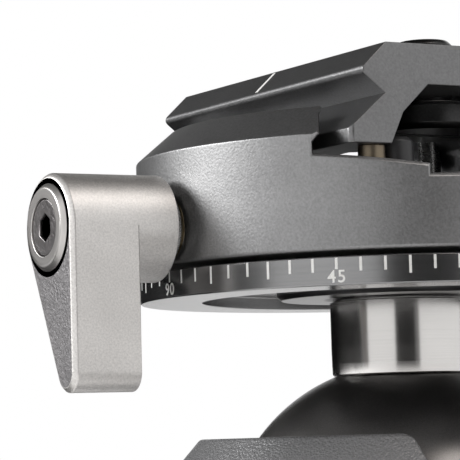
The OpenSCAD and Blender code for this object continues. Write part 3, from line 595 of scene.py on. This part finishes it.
# The lever's outer face has a coarser grain and a darker tone than its sides; the darker tone is painted
# shade.
lever_face_painted_shade = blasted("lever_end_face_painted_shade", (0.3, 0.29, 0.295), 0.42, 3.4, 0.06)
coat_end_face(machined("lever", 0.12, 2, [(paddle_rim, 0.45, 1)]), lever_face_painted_shade)


# Ball, neck and ring


def build_ball():
    """The ball, with the small turning centre that the lathe leaves underneath."""
    steps = 96
    centre_r = 1.6
    centre_depth = 0.9
    arc = [(0, -BALL_R + centre_depth), (centre_r * 0.75, -BALL_R + centre_depth)]
    start = math.asin(centre_r / BALL_R)
    for k in range(steps + 1):
        a = start + (math.pi - start) * k / steps
        arc.append((max(0, BALL_R * math.sin(a)), -BALL_R * math.cos(a)))
    arc[-1] = (0, BALL_R)
    made = lathe("ball_look", [(r, BALL_Z + z) for r, z in arc], segments=192, closed=False)
    return stand_for(smooth(made), "ball")


def build_neck():
    """The neck: a smooth column drawn in slightly at its foot, with a thin groove under the ring."""
    ball_gap = 0.09
    groove = 0.35
    groove_top = 0.6
    spigot_r = 5
    seat_z = BALL_Z + math.sqrt((BALL_R + ball_gap) ** 2 - NECK_R ** 2)
    top = RING_LOW - 0.02
    spigot_top = high("neck")[2] - 0.05
    hollow = [(0, seat_z + 1.9), (4.4, seat_z + 1.25)]
    foot = [(NECK_R - 0.22, seat_z + 0.08), (NECK_R - 0.07, seat_z + 0.22), (NECK_R - 0.025, seat_z + 1.4)]
    column = [(NECK_R, seat_z + 3.2), (NECK_R, top - 0.36)]
    neck_groove = [(NECK_R - groove, top - 0.3), (NECK_R - groove, top + groove_top)]
    spigot = [(spigot_r, top + groove_top), (spigot_r, spigot_top), (0, spigot_top)]
    profile = hollow + foot + column + neck_groove + spigot
    radii = [0, 0.2, 0.03, 0.06, 1, 1, 0.05, 0.03, 0.05, 0, 0.2, 0]
    made = lathe("neck_look", rounded(profile, radii, closed=False), segments=192, closed=False)
    return stand_for(smooth(made), "neck", neck_metal)


neck_metal = turned_metal("neck_metal", (0.64, 0.625, 0.61), 0.155, lines=7.0, depth=0.0004, spread=0.05)
ring_metal = turned_metal("ring_metal", (0.28, 0.28, 0.282), 0.23, lines=7.0, depth=0.001, spread=0.08)
build_ball()
build_neck()

# Scale marks: heights, widths and depths in millimetres
TICK_DEG = 5
LONG_DEG = 15
LABEL_DEG = 45
TICK_W = 0.27
TICK_TOP = RING_TOP - 0.14
LABEL_TICK = 1.15
LONG_TICK = 1.8
SHORT_TICK = 1.4
MARK_DEPTH = 0.03
DIGIT_H = 1.25
DIGIT_T = 0.015
DIGIT_BOLD = 0.016
DIGIT_SPACE = 1.15
CAP_SHARE = 0.7
DIGIT_LOW = TICK_TOP - LABEL_TICK - 0.08 - DIGIT_H
WHITE_PAINT = plain_paint("scale_white", (0.92, 0.92, 0.9))


def wrapped(bm, radius, turn):
    """Bend a flat drawing, x along and y up, round the vertical axis at an angle clockwise from -Y."""
    for vert in bm.verts:
        a = turn - vert.co.x / (radius * MM)
        r = radius * MM + vert.co.z
        vert.co = Vector((-r * math.sin(a), -r * math.cos(a), vert.co.y))


def build_scale_marks():
    """Ticks every 5 degrees, longer every 15 degrees and shortest every 45 degrees where the numbers go,
    filled with white.
    """
    bm = bmesh.new()
    for angle in range(0, 360, TICK_DEG):
        tick = LABEL_TICK if angle % LABEL_DEG == 0 else LONG_TICK if angle % LONG_DEG == 0 else SHORT_TICK
        cell = bmesh.new()
        size = Matrix.Diagonal((TICK_W * MM, tick * MM, MARK_DEPTH * MM, 1))
        bmesh.ops.create_cube(cell, size=1, matrix=size)
        bmesh.ops.translate(cell, vec=(0, (TICK_TOP - tick / 2) * MM, 0), verts=cell.verts)
        wrapped(cell, RING_R, math.radians(angle))
        piece = bpy.data.meshes.new("tick")
        cell.to_mesh(piece)
        cell.free()
        bm.from_mesh(piece)
        bpy.data.meshes.remove(piece)
    return add_on(new_object("scale_ticks", bm), "stem", WHITE_PAINT)


def build_scale_numbers():
    """The numbers under the labelled ticks, drawn as text and bent onto the ring."""
    bm = bmesh.new()
    for angle in range(0, 360, LABEL_DEG):
        text = bpy.data.curves.new("number", "FONT")
        text.body = str(angle)
        text.size = DIGIT_H * MM / CAP_SHARE
        text.align_x = "CENTER"
        text.extrude = DIGIT_T * MM
        text.offset = DIGIT_BOLD * MM
        text.space_character = DIGIT_SPACE
        letters = bpy.data.objects.new("number", text)
        bpy.context.scene.collection.objects.link(letters)
        mesh = bpy.data.meshes.new_from_object(letters.evaluated_get(bpy.context.evaluated_depsgraph_get()))
        bpy.data.objects.remove(letters)
        cell = bmesh.new()
        cell.from_mesh(mesh)
        bmesh.ops.triangulate(cell, faces=cell.faces)
        bmesh.ops.translate(cell, vec=(0, DIGIT_LOW * MM, 0.01 * MM), verts=cell.verts)
        wrapped(cell, RING_R, math.radians(angle))
        cell.to_mesh(mesh)
        cell.free()
        bm.from_mesh(mesh)
        bpy.data.meshes.remove(mesh)
    return add_on(new_object("scale_numbers", bm), "stem", WHITE_PAINT)


def build_ring():
    """The scale ring, with its thin bright upper edge and recessed underside."""
    web = RING_TOP - 1.5
    inner = RING_R - 6.8
    hub_bore = 11.05
    edge = 0.12
    profile = [(hub_bore, web), (inner, web), (inner, RING_LOW), (RING_R - edge, RING_LOW),
               (RING_R, RING_LOW + edge), (RING_R, RING_TOP - edge), (RING_R - edge, RING_TOP),
               (hub_bore, RING_TOP)]
    radii = [0.05, 0.2, 0.12, 0.04, 0.04, 0.04, 0.04, 0.05]
    made = lathe("scale_ring_look", rounded(profile, radii, steps=3), segments=256)
    return stand_for(smooth(made, 60), "scale_ring", ring_metal)


build_ring()
build_scale_marks()
build_scale_numbers()


# The plate's upper bevel in the XZ plane, and the index line on it, in millimetres
BEVEL_TOP_X = 14.35
BEVEL_LOW_X = 17.5
BEVEL_DROP = 2.95
LINE_Y = 0.6
LINE_W = 0.5
LINE_T = 0.06
LINE_SHORT = 1.1
LINE_RISE = 0.25


def build_index_lines():
    """A white line across the plate's upper bevel on each side, near its middle."""
    top = Vector((BEVEL_TOP_X, 0, PLATE_TOP))
    edge = Vector((BEVEL_LOW_X, 0, PLATE_TOP - BEVEL_DROP))
    along = (edge - top).normalized()
    out = Vector((-along.z, 0, along.x))
    parts = []
    for side in (-1, 1):
        middle = (top + edge) / 2 - along * LINE_RISE
        middle.x *= side
        middle.y = LINE_Y
        turn = Matrix(((along.x * side, 0, out.x * side), (0, 1, 0), (along.z, 0, out.z)))
        parts.append(slab("line", ((edge - top).length - LINE_SHORT, LINE_W, LINE_T), middle, turn))
    return add_on(joined("plate_index_lines", parts), "plate_body", WHITE_PAINT)


build_index_lines()


# The 1/4 inch camera thread, in millimetres
THREAD_MINOR_R = 2.55
THREAD_MAJOR_R = 3.17
THREAD_PITCH = 1.27
THREAD_START = PLATE_TOP - 2.4
THREAD_END = high("camera_screw")[2] - 0.35


def build_camera_screw():
    """The captive camera screw, with a thread round its tip."""
    y = (low("camera_screw")[1] + high("camera_screw")[1]) / 2
    machined("camera_screw", 0.1, material=steel_painted_shade)
    ridge = thread("camera_screw_thread", THREAD_MINOR_R, THREAD_MAJOR_R, THREAD_PITCH, THREAD_START,
                   THREAD_END, (0, y, 0))
    add_on(smooth(ridge, 60), "screw", steel_painted_shade)


build_camera_screw()


# Level


def build_level():
    """The level: clear tube, green fluid, bubble and two marks."""
    box_low = low("level_vial")
    box_high = high("level_vial")
    centre = [(a + b) / 2 for a, b in zip(box_low, box_high)]
    radius = (box_high[2] - box_low[2]) / 2
    half = (box_high[1] - box_low[1]) / 2

    def tube(name, r, h, round_r):
        outline = rounded([(0, -h), (r, -h), (r, h), (0, h)], [0, round_r, round_r, 0], closed=False)
        return lathe(name, outline, "y", centre, 48, closed=False)

    glass = smooth(tube("level_vial_look", radius, half, 0.5))
    stand_for(glass, "level_vial")
    fluid = plastic("level_fluid_green", (0.42, 0.62, 0.05), 0.15, 1.0, 0.0)
    add_on(smooth(tube("level_fluid", radius * 0.8, half - 0.5, 0.4)), "clamp", fluid)
    marks = plain_paint("level_black", (0.02, 0.02, 0.02))
    mark_y = 1.6
    mark_half = 0.1
    inner, outer = radius * 0.82, radius * 0.86
    mark = [(inner, -mark_half), (outer, -mark_half), (outer, mark_half), (inner, mark_half)]
    rings = []
    for side in (-1, 1):
        at = (centre[0], centre[1] + side * mark_y, centre[2])
        rings.append(lathe("mark", mark, "y", at, 48))
    add_on(joined("level_marks", rings), "clamp", marks)
    bubble_r = radius * 0.42
    bubble_half = 1.3
    steps = 16
    at = (centre[0], centre[1], centre[2] + radius * 0.48)
    angles = [math.pi * k / steps for k in range(steps + 1)]
    arc = [(bubble_r * math.sin(a), -bubble_half * math.cos(a)) for a in angles]
    arc[-1] = (0, bubble_half)
    pale = plastic("level_bubble_pale", (0.75, 0.85, 0.45), 0.1, 1.0, 0.0)
    add_on(smooth(lathe("level_bubble", arc, "y", at, 32, closed=False)), "clamp", pale)


build_level()


# Stage, light and camera

# The height on the part's axis that lamps and cards stand round
AIM_Z = 60
CARD_REACH = 0.95
CEILING_REACH = 0.9
CARD_STEPS = 24
# Shades of the cards
BLACK = 0.015
DUSK = 0.07


def facing():
    """The camera's axes in the part's frame: right, up and forward."""
    forward = Vector((math.sin(YAW) * math.cos(PITCH), math.cos(YAW) * math.cos(PITCH), math.sin(PITCH)))
    right = Vector((math.cos(YAW), -math.sin(YAW), 0))
    up = right.cross(forward)
    level = right * math.cos(ROLL) + up * math.sin(ROLL)
    upright = up * math.cos(ROLL) - right * math.sin(ROLL)
    return TURN @ level, TURN @ upright, TURN @ forward


def build_camera():
    """The camera that took the photograph."""
    right, up, forward = facing()
    place = TURN @ Vector((0, -CAMERA_DISTANCE, RING_TOP - CAMERA_DROP))
    data = bpy.data.cameras.new("camera")
    data.sensor_width = SENSOR
    data.lens = FOCAL_PX / FRAME_PX * SENSOR
    data.clip_start = 0.01
    data.clip_end = 50
    camera = bpy.data.objects.new("camera", data)
    camera.matrix_world = Matrix((right, up, -forward)).transposed().to_4x4()
    camera.location = place * MM
    bpy.context.scene.collection.objects.link(camera)
    bpy.context.scene.camera = camera


def toward(azimuth, elevation):
    """A direction from the object: azimuth 0 is towards the camera, and positive is to its right."""
    base = TURN @ Vector((0, -1, 0))
    side = Vector((-base.y, base.x, 0))
    a = math.radians(azimuth)
    e = math.radians(elevation)
    flat = base * math.cos(a) + side * math.sin(a)
    return flat * math.cos(e) + Vector((0, 0, math.sin(e)))


def softbox(name, azimuth, elevation, distance, width, height, radiance, colour=(1, 1, 1)):
    """An area lamp that faces the object, with a given radiance."""
    data = bpy.data.lights.new(name, "AREA")
    data.color = colour
    data.shape = "RECTANGLE"
    data.size = width
    data.size_y = height
    data.energy = radiance * math.pi * width * height
    lamp = bpy.data.objects.new(name, data)
    out = toward(azimuth, elevation)
    lamp.location = out * distance + Vector((0, 0, AIM_Z * MM))
    lamp.rotation_mode = "QUATERNION"
    lamp.rotation_quaternion = out.to_track_quat("Z", "Y")
    bpy.context.scene.collection.objects.link(lamp)


def card_material(name, shade):
    """A matt grey for cards."""
    look = Look(name)
    look.set(roughness=1.0)
    look.bsdf.inputs["Specular IOR Level"].default_value = 0
    look.tones(look.noise(0.02, 1), [shade * 0.95] * 3, [shade] * 3)
    return look.material


def card(name, rows, shade):
    """A matt card between two rows of points, unseen by the camera and without a shadow."""
    bm = bmesh.new()
    verts = [[bm.verts.new(point) for point in row] for row in rows]
    for k in range(CARD_STEPS):
        bm.faces.new([verts[0][k], verts[0][k + 1], verts[1][k + 1], verts[1][k]])
    made = new_object(name, bm)
    dress(made, card_material(name, shade))
    made.visible_camera = False
    made.visible_shadow = False


def azimuths(start, end):
    """Evenly spaced azimuths from start to end."""
    return [start + (end - start) * k / CARD_STEPS for k in range(CARD_STEPS + 1)]


def curtain(name, start, end, low_deg, high_deg, distance, shade):
    """A curved card round the object between two azimuths and two elevations."""
    middle = Vector((0, 0, AIM_Z * MM))
    rows = [[toward(a, e) * distance + middle for a in azimuths(start, end)] for e in (low_deg, high_deg)]
    card(name, rows, shade)


def floor_sheet(name, start, end, inner, outer, shade):
    """A card just above the floor, between two azimuths and two radii in metres."""
    lift = Vector((0, 0, MM))
    rows = [[toward(a, 0) * radius + lift for a in azimuths(start, end)] for radius in (inner, outer)]
    card(name, rows, shade)


def see_white(tree):
    """1 for rays that see the background: camera, glossy and transmission rays."""
    path = tree.nodes.new("ShaderNodeLightPath")
    first = tree.nodes.new("ShaderNodeMath")
    first.operation = "MAXIMUM"
    tree.links.new(path.outputs["Is Camera Ray"], first.inputs[0])
    tree.links.new(path.outputs["Is Glossy Ray"], first.inputs[1])
    second = tree.nodes.new("ShaderNodeMath")
    second.operation = "MAXIMUM"
    tree.links.new(first.outputs[0], second.inputs[0])
    tree.links.new(path.outputs["Is Transmission Ray"], second.inputs[1])
    return second.outputs[0]


def build_world(ambient):
    """A white background, dimmer as a light than as a sight."""
    world = bpy.data.worlds.new("studio")
    world.use_nodes = True
    tree = world.node_tree
    back = tree.nodes["Background"]
    back.inputs["Color"].default_value = (1, 1, 1, 1)
    level = tree.nodes.new("ShaderNodeMapRange")
    level.inputs["To Min"].default_value = ambient
    level.inputs["To Max"].default_value = 1
    tree.links.new(see_white(tree), level.inputs["Value"])
    tree.links.new(level.outputs["Result"], back.inputs["Strength"])
    bpy.context.scene.world = world


def build_floor(radius, lift):
    """A pale round floor that keeps the object's shadow and meets the white background."""
    bm = bmesh.new()
    bmesh.ops.create_circle(bm, cap_ends=True, segments=128, radius=radius)
    floor = new_object("floor", bm)
    material = bpy.data.materials.new("floor_pale")
    material.use_nodes = True
    tree = material.node_tree
    bsdf = tree.nodes["Principled BSDF"]
    bsdf.inputs["Base Color"].default_value = (0.9, 0.9, 0.9, 1)
    bsdf.inputs["Roughness"].default_value = 0.9
    bsdf.inputs["Emission Color"].default_value = (1, 1, 1, 1)
    glow = tree.nodes.new("ShaderNodeMath")
    glow.operation = "MULTIPLY"
    glow.inputs[1].default_value = lift
    tree.links.new(see_white(tree), glow.inputs[0])
    tree.links.new(glow.outputs[0], bsdf.inputs["Emission Strength"])
    dress(floor, material)


build_camera()
build_world(0.75)
build_floor(2.5, 0.3)
softbox("key_box", -89, 23, 0.75, 0.42, 0.2, 19)
softbox("warm_box", 46, 58, 0.8, 0.3, 0.26, 4.8, (1, 0.92, 0.86))
curtain("camera_card", -6, 27, -35, 62, CARD_REACH, BLACK)
curtain("camera_card_side", 27, 34, -35, 62, CARD_REACH, 0.25)
curtain("left_card_end", -84, -66, -25, 16, CARD_REACH, BLACK)
curtain("left_card", -142, -84, -3, 16, CARD_REACH, BLACK)
curtain("left_card_far", -167, -142, -2, 16, CARD_REACH, BLACK)
floor_sheet("left_far_sheet", -168, -124, 0.07, 1.4, BLACK)
floor_sheet("left_sheet", -124, -70, 0.07, 0.42, 0.06)
floor_sheet("right_sheet", 30, 130, 0.05, 0.3, 0.4)
curtain("left_edge_card", -66, -56, -25, 16, CARD_REACH, 0.3)
curtain("left_dusk", -177, -112, 16, 36, CARD_REACH, 0.1)
curtain("left_high_card", -112, -62, 36, 66, CARD_REACH, 0.1)
curtain("right_card", 128, 167, -2, 10, CARD_REACH, BLACK)
curtain("ceiling_left", -180, -100, 36, 89, CEILING_REACH, DUSK)
curtain("ceiling_back", 120, 180, 36, 89, CEILING_REACH, DUSK)
curtain("ceiling_front", -100, 120, 66, 89, CEILING_REACH, DUSK)

scene = bpy.context.scene
scene.view_settings.view_transform = "Standard"
